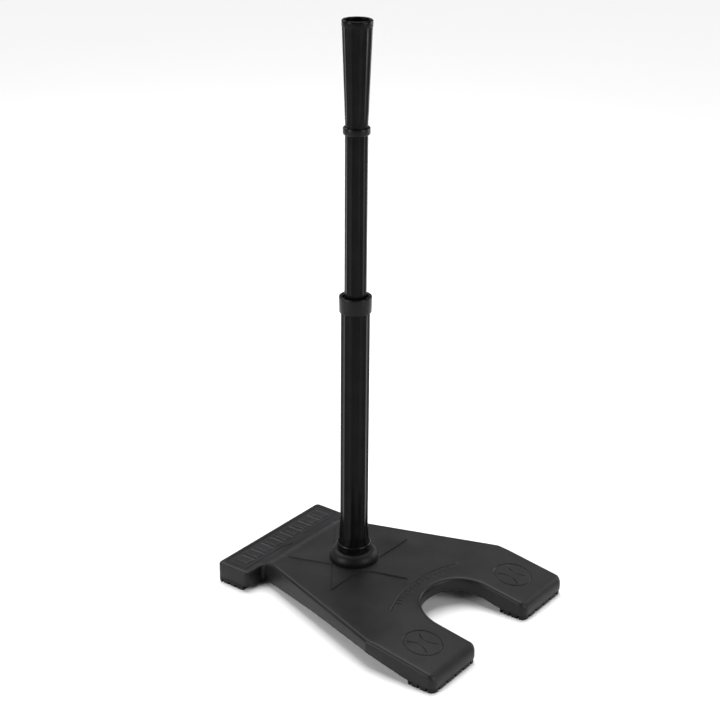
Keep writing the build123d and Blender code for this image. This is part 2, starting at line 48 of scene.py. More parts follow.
# %% [markdown]
# All shapes are written in millimetres around the stem's axis, which is how such a tee is
# dimensioned in a workshop. One helper turns them into metres and moves them back by the 59 mm
# between the stem and the middle of the footprint. It also sets smooth shading with a crease
# angle, because moulded rubber has soft faces that meet in crisp edges.

# %% Helper: a mesh from millimetre points
MM = 0.001
STEM_Y = 59.0               # the stem's axis is this far behind the middle of the footprint
WELD = 0.002 * MM           # points closer than this are one point


def make_piece(name, points, faces, material, body, nodes, crease=32.0):
    """Mesh in the CAD frame, shaded smooth, riding on a body in place of CAD nodes."""
    mesh = bpy.data.meshes.new(name)
    mesh.from_pydata([(x * MM, (y + STEM_Y) * MM, z * MM) for x, y, z in points], [], faces)
    piece = bpy.data.objects.new(name, mesh)
    bpy.context.scene.collection.objects.link(piece)
    work = bmesh.new()
    work.from_mesh(mesh)
    bmesh.ops.remove_doubles(work, verts=work.verts, dist=WELD)
    bmesh.ops.recalc_face_normals(work, faces=work.faces)
    open_edges = sum(1 for edge in work.edges if not edge.is_manifold)
    work.to_mesh(mesh)
    work.free()
    mesh.polygons.foreach_set("use_smooth", [True] * len(mesh.polygons))
    mesh.set_sharp_from_angle(angle=math.radians(crease))
    mesh.materials.append(material)
    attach(piece, body)
    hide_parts(*nodes)
    print(f"{name}: {len(mesh.polygons)} faces, {open_edges} open edges")


# %% [markdown]
# The colours are picked as sRGB hex values, the way a paint or rubber chart prints them. The
# renderer works in linear light, so one function does the turn for every colour here.

# %% Helpers: colour and shader nodes
def linear(hex_code):
    """sRGB hex to linear RGBA."""
    channels = [int(hex_code[i:i + 2], 16) / 255 for i in (1, 3, 5)]
    turned = [c / 12.92 if c <= 0.04045 else ((c + 0.055) / 1.055) ** 2.4 for c in channels]
    return (*turned, 1.0)


def add_node(tree, kind, settings=None, values=None, links=None):
    """One shader node with its settings, socket values and incoming links."""
    node = tree.nodes.new(kind)
    for key, value in (settings or {}).items():
        setattr(node, key, value)
    for key, value in (values or {}).items():
        node.inputs[key].default_value = value
    for key, source in (links or {}).items():
        tree.links.new(source, node.inputs[key])
    return node


def fresh_material(name):
    """Empty node material and its principled shader."""
    material = bpy.data.materials.new(name)
    material.use_nodes = True
    shader = material.node_tree.nodes["Principled BSDF"]
    return material, material.node_tree, shader


# %% [markdown]
# The base is compression-moulded black rubber. It leaves the mould with a satin skin: slightly
# uneven in gloss where the rubber flowed, with a fine pebble from the blasted steel mould.
# Rubber's IOR is about 1.52 and it is never metallic. Filled rubber reflects less than its IOR
# says, so the specular level is low. The blasting grain is about 0.3 mm, too fine to show here,
# so it is drawn at 1.2 mm. The boot, the treads and the soft rings are the same stuff in other
# hardnesses: softer rubber is smoother and darker, and the treads are rougher from the ground.

# %% Materials: moulded black rubbers
RUBBER_IOR = 1.52
FLOW_MM, PATCH_MM = 70, 9   # broad flow marks, and the patches within them


def moulded_rubber(name, dark, pale, roughness, grain_mm, grain_depth_mm, shine):
    """Satin moulded rubber with flow marks and a pebble grain; roughness is (low, high)."""
    material, tree, shader = fresh_material(name)
    shader.inputs["IOR"].default_value = RUBBER_IOR
    shader.inputs["Specular IOR Level"].default_value = shine
    place = add_node(tree, "ShaderNodeTexCoord")
    flow = add_node(tree, "ShaderNodeTexNoise",
                    values={"Scale": 1 / (FLOW_MM * MM), "Detail": 3.0, "Roughness": 0.55},
                    links={"Vector": place.outputs["Object"]})
    patch = add_node(tree, "ShaderNodeTexNoise",
                     values={"Scale": 1 / (PATCH_MM * MM), "Detail": 4.0, "Roughness": 0.6},
                     links={"Vector": place.outputs["Object"]})
    mixed = add_node(tree, "ShaderNodeMath", {"operation": "MULTIPLY_ADD"}, {1: 0.35},
                     {0: patch.outputs["Fac"], 2: flow.outputs["Fac"]})
    tone = add_node(tree, "ShaderNodeValToRGB", links={"Fac": mixed.outputs[0]})
    tone.color_ramp.elements[0].position = 0.42
    tone.color_ramp.elements[0].color = linear(dark)
    tone.color_ramp.elements[1].position = 0.92
    tone.color_ramp.elements[1].color = linear(pale)
    gloss = add_node(tree, "ShaderNodeMapRange",
                     values={"From Min": 0.35, "From Max": 0.95, "To Min": roughness[0], "To Max": roughness[1]},
                     links={"Value": mixed.outputs[0]})
    grain = add_node(tree, "ShaderNodeTexNoise", values={"Scale": 1 / (grain_mm * MM), "Detail": 2.0},
                     links={"Vector": place.outputs["Object"]})
    relief = add_node(tree, "ShaderNodeBump", values={"Strength": 0.35, "Distance": grain_depth_mm * MM},
                      links={"Height": grain.outputs["Fac"]})
    tree.links.new(tone.outputs["Color"], shader.inputs["Base Color"])
    tree.links.new(gloss.outputs["Result"], shader.inputs["Roughness"])
    tree.links.new(relief.outputs["Normal"], shader.inputs["Normal"])
    return material


base_rubber = moulded_rubber("moulded_black_rubber", "#111112", "#1b1b1d", roughness=(0.36, 0.46),
                             grain_mm=1.2, grain_depth_mm=0.12, shine=0.165)
boot_rubber = moulded_rubber("soft_boot_rubber", "#0c0c0d", "#151516", roughness=(0.42, 0.50),
                             grain_mm=1.2, grain_depth_mm=0.08, shine=0.13)
tread_rubber = moulded_rubber("studded_tread_rubber", "#121213", "#1f1f20", roughness=(0.44, 0.56),
                              grain_mm=1.5, grain_depth_mm=0.20, shine=0.18)
ring_rubber = moulded_rubber("soft_ring_rubber", "#080809", "#0f0f10", roughness=(0.22, 0.30),
                             grain_mm=0.9, grain_depth_mm=0.05, shine=0.12)
print("moulded rubbers:", [m.name for m in (base_rubber, boot_rubber, tread_rubber, ring_rubber)])

# %% [markdown]
# The two tubes are extruded rubber. The die leaves long faint lines down the tube, and handling
# polishes the narrow ribs between the flutes. The lines come from noise that is stretched along
# the tube's length; the cup is moulded but shares the same black compound. Real die lines are
# finer than half a millimetre, so they are drawn 1.6 mm apart.

# %% Material: extruded black rubber of the tubes
DIE_LINE_MM, DIE_RUN_MM, SMEAR_MM = 1.6, 160, 35


def extruded_rubber(name, dark, pale, roughness, shine):
    """Glossier rubber with die lines along Z; roughness is (low, high)."""
    material, tree, shader = fresh_material(name)
    shader.inputs["Specular IOR Level"].default_value = shine
    shader.inputs["IOR"].default_value = RUBBER_IOR
    place = add_node(tree, "ShaderNodeTexCoord")
    across, along = 1 / (DIE_LINE_MM * MM), 1 / (DIE_RUN_MM * MM)
    stretch = add_node(tree, "ShaderNodeMapping", values={"Scale": (across, across, along)},
                       links={"Vector": place.outputs["Object"]})
    lines = add_node(tree, "ShaderNodeTexNoise", values={"Scale": 1.0, "Detail": 3.0},
                     links={"Vector": stretch.outputs["Vector"]})
    smear = add_node(tree, "ShaderNodeTexNoise", values={"Scale": 1 / (SMEAR_MM * MM), "Detail": 3.0},
                     links={"Vector": place.outputs["Object"]})
    mixed = add_node(tree, "ShaderNodeMath", {"operation": "MULTIPLY_ADD"}, {1: 0.5},
                     {0: lines.outputs["Fac"], 2: smear.outputs["Fac"]})
    tone = add_node(tree, "ShaderNodeValToRGB", links={"Fac": mixed.outputs[0]})
    tone.color_ramp.elements[0].position = 0.5
    tone.color_ramp.elements[0].color = linear(dark)
    tone.color_ramp.elements[1].position = 1.0
    tone.color_ramp.elements[1].color = linear(pale)
    gloss = add_node(tree, "ShaderNodeMapRange",
                     values={"From Min": 0.4, "From Max": 1.1, "To Min": roughness[0], "To Max": roughness[1]},
                     links={"Value": mixed.outputs[0]})
    relief = add_node(tree, "ShaderNodeBump", values={"Strength": 0.25, "Distance": 0.05 * MM},
                      links={"Height": lines.outputs["Fac"]})
    tree.links.new(tone.outputs["Color"], shader.inputs["Base Color"])
    tree.links.new(gloss.outputs["Result"], shader.inputs["Roughness"])
    tree.links.new(relief.outputs["Normal"], shader.inputs["Normal"])
    return material


tube_rubber = extruded_rubber("extruded_black_rubber", "#070708", "#0f0f10", roughness=(0.15, 0.21), shine=0.055)
cup_rubber = extruded_rubber("moulded_cup_rubber", "#080809", "#101011", roughness=(0.17, 0.24), shine=0.06)
print("tube and cup rubbers:", tube_rubber.name, cup_rubber.name)

# %% [markdown]
# The hidden hardware is zinc-plated steel, and the bushes are black nylon. Zinc plate is a
# bright grey metal with a faint cloudy crystal; nylon is a smooth plastic with a soft sheen.

# %% Materials: nylon and zinc-plated steel
def black_nylon():
    """Smooth moulded nylon with a faint mottled gloss."""
    material, tree, shader = fresh_material("moulded_black_nylon")
    place = add_node(tree, "ShaderNodeTexCoord")
    cloud = add_node(tree, "ShaderNodeTexNoise", values={"Scale": 1 / (6 * MM), "Detail": 3.0},
                     links={"Vector": place.outputs["Object"]})
    gloss = add_node(tree, "ShaderNodeMapRange", values={"To Min": 0.32, "To Max": 0.46},
                     links={"Value": cloud.outputs["Fac"]})
    shader.inputs["Base Color"].default_value = linear("#242426")
    shader.inputs["IOR"].default_value = 1.53
    tree.links.new(gloss.outputs["Result"], shader.inputs["Roughness"])
    return material


def zinc_plate():
    """Zinc-plated steel: grey metal with a cloudy grain."""
    material, tree, shader = fresh_material("zinc_plated_steel")
    place = add_node(tree, "ShaderNodeTexCoord")
    cloud = add_node(tree, "ShaderNodeTexNoise", values={"Scale": 1 / (2.5 * MM), "Detail": 4.0},
                     links={"Vector": place.outputs["Object"]})
    tone = add_node(tree, "ShaderNodeValToRGB", links={"Fac": cloud.outputs["Fac"]})
    tone.color_ramp.elements[0].color = linear("#a9adb2")
    tone.color_ramp.elements[1].color = linear("#d2d5d8")
    gloss = add_node(tree, "ShaderNodeMapRange", values={"To Min": 0.24, "To Max": 0.42},
                     links={"Value": cloud.outputs["Fac"]})
    shader.inputs["Metallic"].default_value = 1.0
    tree.links.new(tone.outputs["Color"], shader.inputs["Base Color"])
    tree.links.new(gloss.outputs["Result"], shader.inputs["Roughness"])
    return material


nylon = black_nylon()
zinc = zinc_plate()
print("hardware finishes:", nylon.name, zinc.name)

# %% [markdown]
# Both the plan and the side view of the base are drawn the same way: corner points, each with
# a rounding radius. One function turns such a list into a dense line, and keeps corners crisp
# where the radius is nought.

# %% Helper: a line with rounded corners
def rounded_line(corners, closed, arc_step=6.0, run_step=6.0):
    """Points along corner-to-corner runs, with arcs of the given radii and runs cut to length."""
    count = len(corners)
    line = []
    for i, (corner, radius) in enumerate(corners):
        here = np.array(corner, float)
        if not closed and i in (0, count - 1):
            line.append(here)
            continue
        back = np.array(corners[i - 1][0], float) - here
        ahead = np.array(corners[(i + 1) % count][0], float) - here
        back /= np.linalg.norm(back)
        ahead /= np.linalg.norm(ahead)
        if radius == 0:
            line.append(here)
            continue
        half = math.acos(max(-1.0, min(1.0, back @ ahead))) / 2
        centre = here + (back + ahead) / np.linalg.norm(back + ahead) * radius / math.sin(half)
        start = here + back * radius / math.tan(half) - centre
        stop = here + ahead * radius / math.tan(half) - centre
        a0 = math.atan2(start[1], start[0])
        sweep = (math.atan2(stop[1], stop[0]) - a0 + math.pi) % (2 * math.pi) - math.pi
        steps = max(2, int(round(abs(math.degrees(sweep)) / arc_step)))
        line += [centre + radius * np.array([math.cos(a0 + sweep * k / steps), math.sin(a0 + sweep * k / steps)])
                 for k in range(steps + 1)]
    cut = []
    for i in range(len(line) if closed else len(line) - 1):
        p, q = line[i], line[(i + 1) % len(line)]
        pieces = max(1, int(math.ceil(np.linalg.norm(q - p) / run_step)))
        cut += [p + (q - p) * k / pieces for k in range(pieces)]
    if not closed:
        cut.append(line[-1])
    return np.array(cut)


# %% [markdown]
# The side view sets the height everywhere: a flat deck, a ramp down to the rear bar, and legs
# that slope to rounded toes. Underneath, an arch lifts the middle off the ground so that the
# weight sits on the bar and the leg tips.

# %% The base's heights from front to back
DECK_Z, BAR_Z, TREAD_Z = 51.2, 38.5, 9.0
REAR_Y, FRONT_Y, BAR_FRONT_Y = 202.0, -320.0, 130.5
LEG_BREAK_Y = -190.0        # the legs begin to slope here
LEG_SLOPE = math.tan(math.radians(8.25))
PAST_REAR_Y = REAR_Y + 1.0  # the side lines run a little past the base at both ends
TOE_Y = FRONT_Y - 1.5
TOE_Z = DECK_Z - (LEG_BREAK_Y - TOE_Y) * LEG_SLOPE
TOE_R = 0.78 * (TOE_Z - TREAD_Z)
LEG_FOOT_Y = -262.0         # the flat foot of each leg begins here
top_side = rounded_line([((PAST_REAR_Y, BAR_Z), 0), ((131, BAR_Z), 30), ((105, DECK_Z), 60),
                         ((LEG_BREAK_Y, DECK_Z), 250), ((TOE_Y, TOE_Z), TOE_R), ((TOE_Y, TREAD_Z), 0)],
                        False, 3.0, 3.0)
under_side = rounded_line([((PAST_REAR_Y, TREAD_Z), 0), ((118, TREAD_Z), 60), ((-23, 22), 900),
                           ((-178, 28.5), 45), ((LEG_FOOT_Y, TREAD_Z), 8), ((TOE_Y, TREAD_Z), 0)],
                          False, 3.0, 3.0)


def height_on(line, y):
    """Height of a side line at y; the line runs from the rear to the front."""
    order = np.argsort(line[:, 0], kind="stable")
    return np.interp(y, line[order, 0], line[order, 1])


print("deck to toe:", DECK_Z, "->", round(TOE_Z, 1), "mm")

# %% [markdown]
# The plan is a bar, a neck, two wings that flare out, and legs around a round-backed notch.
# Each corner carries two radii: one in plan, and one for how softly the top edge rolls over.
# The legs and the notch are rolled over most, the neck least.

# %% The base's plan and its edge roll
BAR_HALF, NECK_HALF, WING_HALF, NOTCH_HALF = 146.5, 100.5, 206.0, 75.5
WING_Y, NOTCH_BACK_Y = -181.5, -168.0
half_plan = [((-BAR_HALF, REAR_Y), 9, 5.0), ((-BAR_HALF, BAR_FRONT_Y), 9, 6.0),
             ((-NECK_HALF, BAR_FRONT_Y), 7, 4.5), ((-WING_HALF, WING_Y), 8, 6.0),
             ((-WING_HALF, FRONT_Y), 13, 6.5), ((-NOTCH_HALF, FRONT_Y), 13, 6.5),
             ((-NOTCH_HALF, NOTCH_BACK_Y), 72, 6.5)]
plan = half_plan + [((-x, y), r, roll) for (x, y), r, roll in reversed(half_plan)]
outline = rounded_line([(p, r) for p, r, roll in plan], True, 6.0, 5.0)
inward = np.roll(outline, -1, 0) - np.roll(outline, 1, 0)
inward = np.stack([-inward[:, 1], inward[:, 0]], 1) / np.linalg.norm(inward, axis=1)[:, None]
corner_xy = np.array([p for p, r, roll in plan])
nearest = np.linalg.norm(outline[:, None] - corner_xy[None], axis=2)
weights = 1 / (nearest + 8) ** 3
edge_roll = (weights * np.array([roll for p, r, roll in plan])).sum(1) / weights.sum(1)
print("plan points:", len(outline), "roll from", edge_roll.min().round(1), "to", edge_roll.max().round(1), "mm")

# %% [markdown]
# The deck carries raised and sunk marks: a star under the stem, a framed panel of plain blocks
# on the bar, an arc with a row of ticks, and a ball-seam roundel on each leg. They are moulded
# in, so they are part of the surface. Each sunk line is a path with a width; the height at any
# point then depends only on how far it lies from the nearest path. The real lines are about
# 1.4 mm wide, too fine to show, so most are drawn 2.2 mm wide and a little deeper.

# %% Marks: the star and the sunk lines
STAR_OUT, STAR_RATIO, STAR_H = 121.5, 0.382, 2.8
STAR_WALL = (-0.1, 0.25, 0.65, 1.0)         # the star's wall climbs between the first and the last
STAR_REACH = STAR_OUT * math.sin(math.radians(18))      # from the middle to each edge's line
LINE_W, LINE_DEPTH = 2.2, 1.3
LINE_SHARES = (-0.75, -0.4, 0.0, 0.4, 0.75)             # net lines across a sunk line, in widths


def star_line(inset):
    """Star outline moved in by a distance; every edge of a regular star is the same distance out."""
    scale = (STAR_REACH - inset) / STAR_REACH
    turns = [math.radians(-90 + 36 * k) for k in range(10)]
    reaches = [STAR_OUT * scale * (1 if k % 2 == 0 else STAR_RATIO) for k in range(10)]
    corners = [((r * math.cos(a), r * math.sin(a)), 0) for r, a in zip(reaches, turns)]
    return rounded_line(corners, True, 6.0, 5.0)


def arc_path(centre, radius, start, stop, step=3.0):
    """Points along a circular arc; angles in degrees."""
    count = max(3, int(abs(math.radians(stop - start)) * radius / step))
    angles = np.radians(np.linspace(start, stop, count + 1))
    return np.array(centre) + radius * np.stack([np.cos(angles), np.sin(angles)], 1)


PANEL_HALF, PANEL_FRONT_Y, PANEL_REAR_Y, PANEL_R = 134, 144, 192, 5
panel_frame = rounded_line([((-5, 138), 0), ((-14, 138), 5), ((-27, PANEL_FRONT_Y), 6),
                            ((-PANEL_HALF, PANEL_FRONT_Y), PANEL_R), ((-PANEL_HALF, PANEL_REAR_Y), PANEL_R),
                            ((PANEL_HALF, PANEL_REAR_Y), PANEL_R), ((PANEL_HALF, PANEL_FRONT_Y), PANEL_R),
                            ((33, PANEL_FRONT_Y), 0)], False, 10.0, 3.5)
ARC_R, ARC_HALF_ANGLE = 239.0, 24.5
arc_centre = np.array([0.0, -135.5 - ARC_R])
sunk = [(panel_frame, LINE_W), (arc_path(arc_centre, ARC_R, 90 - ARC_HALF_ANGLE, 90 + ARC_HALF_ANGLE), LINE_W)]
TICKS, TICK_SPREAD, TICK_W = 15, 39.0, 1.9
for k in range(TICKS):
    angle = math.radians(90 + (k - 7) * TICK_SPREAD / (TICKS - 1))
    aim = np.array([math.cos(angle), math.sin(angle)])
    sunk.append((np.array([arc_centre + aim * r for r in (227.5, 231.0, 234.5)]), TICK_W))
ROUNDEL_X, ROUNDEL_Y, ROUNDEL_R = 141.0, -252.5, 33
BALL_SEAM_R, BALL_SEAM_OUT, BALL_SEAM_W = 26, 34, 1.3
for side in (-1, 1):
    middle = np.array([side * ROUNDEL_X, ROUNDEL_Y])
    sunk.append((arc_path(middle, ROUNDEL_R, 0, 360), LINE_W))
    for turn in (0, 180):
        seam_centre = middle + np.array([math.cos(math.radians(turn)), 0]) * BALL_SEAM_OUT
        sunk.append((arc_path(seam_centre, BALL_SEAM_R, 180 + turn - 44, 180 + turn + 44), BALL_SEAM_W))
BLOCK_W, BLOCK_LEN, BLOCK_H, BLOCK_PITCH, BLOCK_Y = 17.0, 27.0, 0.35, 27.5, 168.0
BLOCK_INSETS = (-1.6, -1.0, -0.5, 0.0, 0.6, 1.2)        # net lines over the channel and the block's wall
CHANNEL_DEPTH = 0.7         # a fine channel runs round each block
blocks = [((k - 4) * BLOCK_PITCH, BLOCK_Y) for k in range(9)]
print("sunk lines:", len(sunk), "raised blocks:", len(blocks))

# %% [markdown]
# Heights come from distances: how deep a point lies inside the star, how far it is from a sunk
# line, how far inside a raised block. Smooth steps between them copy the small radii that a
# mould cutter leaves. The deck also dips by about a millimetre between its edges, as thick
# rubber does when it shrinks on cooling; the dip fades out towards the bar, the toes and the
# boot.

# %% Height of the deck at any point
DIP = 1.1
DIP_EDGE, DIP_RUN, DIP_FADE = 6, 55, 60     # starts this far in, is full after, and fades over
DIP_REAR_Y, DIP_FRONT_Y, DIP_BOOT_R = 120, -235, 50


def smooth(t):
    """Soft step from 0 to 1."""
    t = np.clip(t, 0, 1)
    return t * t * (3 - 2 * t)


def line_distance(points, path):
    """Shortest distance from each point to an open path."""
    p, q = path[:-1], path[1:]
    run = q - p
    t = ((points[:, None] - p) * run).sum(2) / (run ** 2).sum(1)
    foot = p + np.clip(t, 0, 1)[..., None] * run
    return np.linalg.norm(points[:, None] - foot, axis=2).min(1)


def star_depth(points):
    """Distance inside the star's edge (negative outside)."""
    aims = [math.radians(-90 + 72 * k) for k in range(5)]
    lines = np.stack([STAR_REACH - points @ np.array([math.cos(a), math.sin(a)]) for a in aims], 1)
    return np.sort(lines, 1)[:, 1]


def relief(points):
    """Raised and sunk marks above the plain deck."""
    rise = STAR_H * smooth((star_depth(points) - STAR_WALL[0]) / (STAR_WALL[-1] - STAR_WALL[0]))
    for path, width in sunk:
        low, high = path.min(0) - 5, path.max(0) + 5
        near = ((points > low) & (points < high)).all(1)
        if near.any():
            gap = line_distance(points[near], path)
            rise[near] -= LINE_DEPTH * (1 - smooth((gap - width * 0.15) / (width * 0.6)))
    for x, y in blocks:
        inside = np.minimum(BLOCK_W / 2 - abs(points[:, 0] - x), BLOCK_LEN / 2 - abs(points[:, 1] - y))
        rise += BLOCK_H * smooth(inside / 1.1) - CHANNEL_DEPTH * (1 - smooth(abs(inside + 0.6) / 1.0))
    return rise


def edge_distance(points):
    """Distance from each point in to the plan's edge."""
    return line_distance(points, np.vstack([outline, outline[:1]]))


def deck_height(points):
    """Top surface inside the edge roll."""
    y = points[:, 1]
    dip = DIP * smooth((edge_distance(points) - DIP_EDGE) / DIP_RUN)
    dip *= smooth((DIP_REAR_Y - y) / DIP_FADE) * smooth((y - DIP_FRONT_Y) / DIP_FADE)
    dip *= smooth((np.linalg.norm(points, axis=1) - DIP_BOOT_R) / DIP_FADE)
    return height_on(top_side, y) + relief(points) - dip

# %% [markdown]
# The skin of the base is a net of triangles laid over the plan. A constrained Delaunay net is
# handy here: it takes the star, the sunk lines and the blocks as lines that must be edges, and
# fills the rest evenly. The net is then lifted to the height function.

# %% Helper: a triangle net over a plan with lines in it
def inside_loop(points, loop):
    """True for points inside a closed loop."""
    x, y = points[:, 0][:, None], points[:, 1][:, None]
    x0, y0 = loop[:, 0], loop[:, 1]
    x1, y1 = np.roll(x0, -1), np.roll(y0, -1)
    crosses = ((y0 > y) != (y1 > y)) & (x < (x1 - x0) * (y - y0) / np.where(y1 == y0, 1e-9, y1 - y0) + x0)
    return crosses.sum(1) % 2 == 1


ROOM = 1.9                  # a filling point keeps at least this far from every drawn line


def net_over(outer, hole, lines, fill):
    """Flat triangles between an outer loop and a hole, with open or closed lines kept as edges."""
    points, edges = [], []
    for line, closed in [(outer, True), (hole, True)] + lines:
        first = len(points)
        points += [tuple(p) for p in line]
        edges += [(first + k, first + k + 1) for k in range(len(line) - 1)]
        if closed:
            edges.append((len(points) - 1, first))
    kept = np.array(points)
    roomy = np.array([np.min(np.abs(kept - p).max(1)) > ROOM for p in fill])
    fill = fill[roomy & inside_loop(fill, outer) & ~inside_loop(fill, hole)]
    points += [tuple(p) for p in fill]
    flat, _, faces, _, _, _ = delaunay_2d_cdt([Vector(p) for p in points], edges, [], 0, 1e-5)
    flat = np.array([tuple(v) for v in flat])
    middles = np.array([flat[list(face)].mean(0) for face in faces])
    good = inside_loop(middles, outer) & ~inside_loop(middles, hole)
    return flat, [face for face, ok in zip(faces, good) if ok]


def grid(x0, x1, y0, y1, step):
    """Even rows of points, every other row shifted by half a step."""
    rows = np.arange(y0, y1, step * 0.87)
    return np.array([(x + (i % 2) * step / 2, y) for i, y in enumerate(rows) for x in np.arange(x0, x1, step)])


def beside(path, offset):
    """The path moved sideways by an offset."""
    along = np.gradient(path, axis=0)
    along /= np.linalg.norm(along, axis=1)[:, None]
    return path + offset * np.stack([-along[:, 1], along[:, 0]], 1)


HOLE_POINTS = 48


def circle(radius):
    """Closed ring of points about the stem."""
    angles = np.linspace(0, 2 * math.pi, HOLE_POINTS, endpoint=False)
    return radius * np.stack([np.cos(angles), np.sin(angles)], 1)


# %% The base's top net
SOCKET_R, RECESS_R, BOLT_HOLE_R = 27.4, 21.0, 4.4
lines = [(star_line(inset), True) for inset in STAR_WALL]
for path, width in sunk:
    lines += [(beside(path, width * share), False) for share in LINE_SHARES]
for x, y in blocks:
    for inset in BLOCK_INSETS:
        w, l = BLOCK_W / 2 - inset, BLOCK_LEN / 2 - inset
        corners = [((x - w, y - l), 1.2), ((x + w, y - l), 1.2), ((x + w, y + l), 1.2), ((x - w, y + l), 1.2)]
        lines.append((rounded_line(corners, True, 30.0, 6.0), True))
fill = np.vstack([grid(-205, 205, -292, 98, 6.5),       # deck
                  grid(-205, 205, -319, -292, 3.0),     # toes, which curve fastest
                  grid(-146, 146, 98, 201, 4.0)])       # ramp and bar
roll_in = outline + inward * edge_roll[:, None]
top_flat, top_faces = net_over(roll_in, circle(SOCKET_R), lines, fill)
top_z = deck_height(top_flat)
print("top net:", len(top_flat), "points,", len(top_faces), "triangles")

# %% [markdown]
# The edge roll, the wall and the lower lip are strips between copies of the outline, each moved
# in a little and set to its own height. The underside is a coarser net. The socket for the stem
# and the recess for the washer are rings that join the two nets, so the base closes up as one
# watertight skin.

# %% The base's walls, underside and socket
base_points, base_faces = [], []


def add_ring(loop, heights):
    """Adds a loop of points and returns where it starts."""
    first = len(base_points)
    base_points.extend((x, y, z) for (x, y), z in zip(loop, heights))
    return first


def add_strip(a, b, count):
    """Quads between two loops of the same length."""
    base_faces.extend((a + k, a + (k + 1) % count, b + (k + 1) % count, b + k) for k in range(count))


def add_net(flat, faces, heights):
    """Adds a lifted net."""
    first = len(base_points)
    base_points.extend((x, y, z) for (x, y), z in zip(flat, heights))
    base_faces.extend(tuple(first + v for v in face) for face in faces)


add_net(top_flat, top_faces, top_z)
rings = []
for turn in np.radians([90, 75, 60, 45, 30, 15, 0]):
    loop = outline + inward * (edge_roll * (1 - math.cos(turn)))[:, None]
    rings.append(add_ring(loop, deck_height(loop) - edge_roll * (1 - math.sin(turn))))
LIP = 1.4
wall_foot = height_on(under_side, outline[:, 1])
for inset, rise in ((0.0, LIP), (0.3 * LIP, 0.3 * LIP), (LIP, 0.0)):
    rings.append(add_ring(outline + inward * inset, wall_foot + rise))
for a, b in zip(rings, rings[1:]):
    add_strip(a, b, len(outline))
under_loop = outline + inward * LIP
under_flat, under_faces = net_over(under_loop, circle(RECESS_R), [], grid(-205, 205, -318, 200, 11.0))
heights = height_on(under_side, under_flat[:, 1])
gaps = np.linalg.norm(under_flat[:, None] - under_loop[None], axis=2)
on_edge = gaps.min(1) < 0.001
heights[on_edge] = wall_foot[gaps.argmin(1)[on_edge]]
add_net(under_flat, under_faces, heights)
SOCKET_Z, RECESS_Z = 36.0, 29.0
socket_rim, bolt_rim, recess_rim = circle(SOCKET_R), circle(BOLT_HOLE_R), circle(RECESS_R)
floor_of_socket, roof_of_recess = [SOCKET_Z] * HOLE_POINTS, [RECESS_Z] * HOLE_POINTS
stack = [(socket_rim, deck_height(socket_rim)), (socket_rim, floor_of_socket), (bolt_rim, floor_of_socket),
         (bolt_rim, roof_of_recess), (recess_rim, roof_of_recess),
         (recess_rim, height_on(under_side, recess_rim[:, 1]))]
starts = [add_ring(loop, z) for loop, z in stack]
for a, b in zip(starts, starts[1:]):
    add_strip(a, b, HOLE_POINTS)
make_piece("base_skin", base_points, base_faces, base_rubber, "base", ["base_body"], 38.0)

# %% [markdown]
# The tread pads are studs on a thin plate. A stud is its rectangle, cut to the pad's rounded
# outline, drawn out downwards with a small bevel so that the studs catch light at their edges.

# %% Helpers for stud pads
SLOT_W = 4.5
BITE = 0.4                  # each stud runs this far into the plate


def cut_to(polygon, loop):
    """Part of a polygon inside a convex, anticlockwise loop."""
    for a, b in zip(loop, np.roll(loop, -1, 0)):
        kept = []
        side = [(b[0] - a[0]) * (p[1] - a[1]) - (b[1] - a[1]) * (p[0] - a[0]) for p in polygon]
        for i, p in enumerate(polygon):
            q, s, t = polygon[(i + 1) % len(polygon)], side[i], side[(i + 1) % len(polygon)]
            if s >= 0:
                kept.append(p)
            if s * t < 0:
                kept.append(p + (q - p) * s / (s - t))
        polygon = kept
        if len(polygon) < 3:
            return []
    return polygon


def shrink(polygon, by):
    """Convex polygon drawn in towards its middle by a distance."""
    middle = np.mean(polygon, axis=0)
    size = np.ptp(np.array(polygon), axis=0) / 2
    scale = 1 - by / size
    return [middle + (p - middle) * scale for p in polygon]


def stud_pad(name, loop, xs, ys, depth, node, lift=None):
    """Plate with studs under it; xs and ys are the middles of the slots, depth is their depth."""
    points, faces = [], []

    def shell(layers):
        first, count = len(points), len(layers[0][0])
        for polygon, z in layers:
            points.extend((p[0], p[1], max(z, lift(p[1])) if lift and z < depth else z) for p in polygon)
        faces.append(tuple(first + k for k in range(count)))
        last = first + (len(layers) - 1) * count
        faces.append(tuple(last + k for k in reversed(range(count))))
        for row in range(len(layers) - 1):
            a, b = first + row * count, first + (row + 1) * count
            faces.extend((a + k, a + (k + 1) % count, b + (k + 1) % count, b + k) for k in range(count))

    shell([(list(loop), TREAD_Z), (list(loop), depth)])
    low, high = loop.min(0), loop.max(0)
    columns = [low[0]] + sorted(x + s * SLOT_W / 2 for x in xs for s in (-1, 1)) + [high[0]]
    rows = [low[1]] + sorted(y + s * SLOT_W / 2 for y in ys for s in (-1, 1)) + [high[1]]
    for x0, x1 in zip(columns[::2], columns[1::2]):
        for y0, y1 in zip(rows[::2], rows[1::2]):
            box = [np.array(p, float) for p in ((x0, y0), (x1, y0), (x1, y1), (x0, y1))]
            foot = cut_to(box, loop)
            if len(foot) >= 3:
                shell([(foot, depth + BITE), (foot, 0.9), (shrink(foot, 0.25), 0.3), (shrink(foot, 0.9), 0.0)])
    make_piece(name, points, faces, tread_rubber, "base", [node], 30.0)


BEVEL_Y, BEVEL_SLOPE = 193.0, 0.95


def wedge_lift(y):
    """Bevel along the rear edge of the rear pad."""
    return (y - BEVEL_Y) * BEVEL_SLOPE - 0.5


